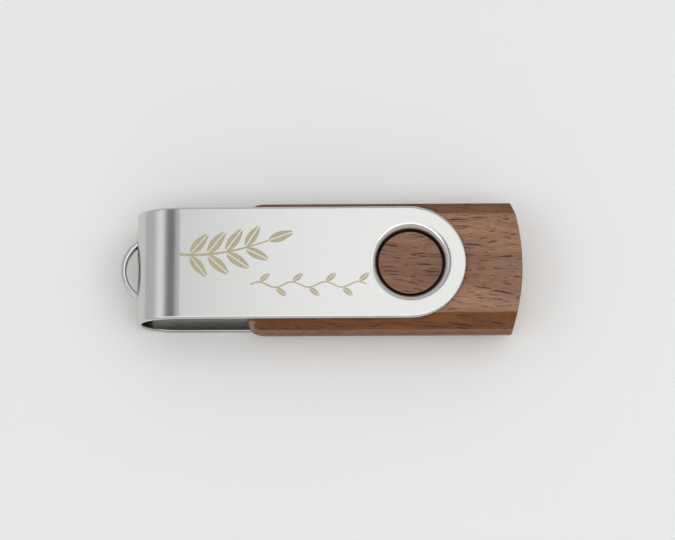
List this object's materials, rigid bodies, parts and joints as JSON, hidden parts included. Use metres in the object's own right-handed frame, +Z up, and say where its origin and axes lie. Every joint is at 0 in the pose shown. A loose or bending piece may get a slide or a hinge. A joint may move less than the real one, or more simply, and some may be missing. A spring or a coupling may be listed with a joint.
{
  "type": "usb flash drive",
  "caption": "Swivel flash drive: a walnut body with a standard USB-A plug, covered by a bent metal clip that turns about the body and carries a keyring eyelet.",
  "frame": {"origin": "centre of the bounding box, on the surface that the drive lies on", "axes": "+X from the plug and the keyring eyelet towards the bowed end of the wood, +Z up along the pivot axis"},
  "size_m": [0.0586, 0.019, 0.0103],
  "materials": {
    "clip_steel": "satin, fine-grained",
    "walnut": "sanded and lightly oiled, grain along the body",
    "black_plastic": "fine moulded texture",
    "plug_steel": "nickel plated, smooth",
    "insulator_plastic": "moulded",
    "tinned_metal": "tinned",
    "contact_gold": "gold flash",
    "board_laminate": "green solder mask",
    "chip_epoxy": "moulded epoxy",
    "alumina": "fired",
    "capacitor_ceramic": "fired"
  },
  "bodies": {
    "drive": {"walnut_upper_shell": "walnut", "walnut_lower_shell": "walnut", "plug_collar": "black_plastic", "plug_shell": "plug_steel", "plug_insulator": "insulator_plastic", "contact_power": "contact_gold", "contact_data_minus": "contact_gold", "contact_data_plus": "contact_gold", "contact_ground": "contact_gold", "plug_solder": "tinned_metal", "board_cradle": "black_plastic", "cradle_lid": "black_plastic", "circuit_board": "board_laminate", "board_pads": "contact_gold", "flash_chip": "chip_epoxy", "flash_chip_leads": "tinned_metal", "controller_chip": "chip_epoxy", "controller_leads": "tinned_metal", "crystal_base": "alumina", "crystal_lid": "plug_steel", "capacitor_bodies": "capacitor_ceramic", "capacitor_ends": "tinned_metal", "resistor_bodies": "chip_epoxy", "resistor_ends": "tinned_metal"},
    "clip": {"swivel_clip": "clip_steel"}
  },
  "joints": [
    {"name": "clip_swivel", "type": "hinge", "parent": "drive", "child": "clip", "pos_m": [0.01304, 0, 0.00515], "axis": [0, 0, 1], "continuous": true}
  ]
}
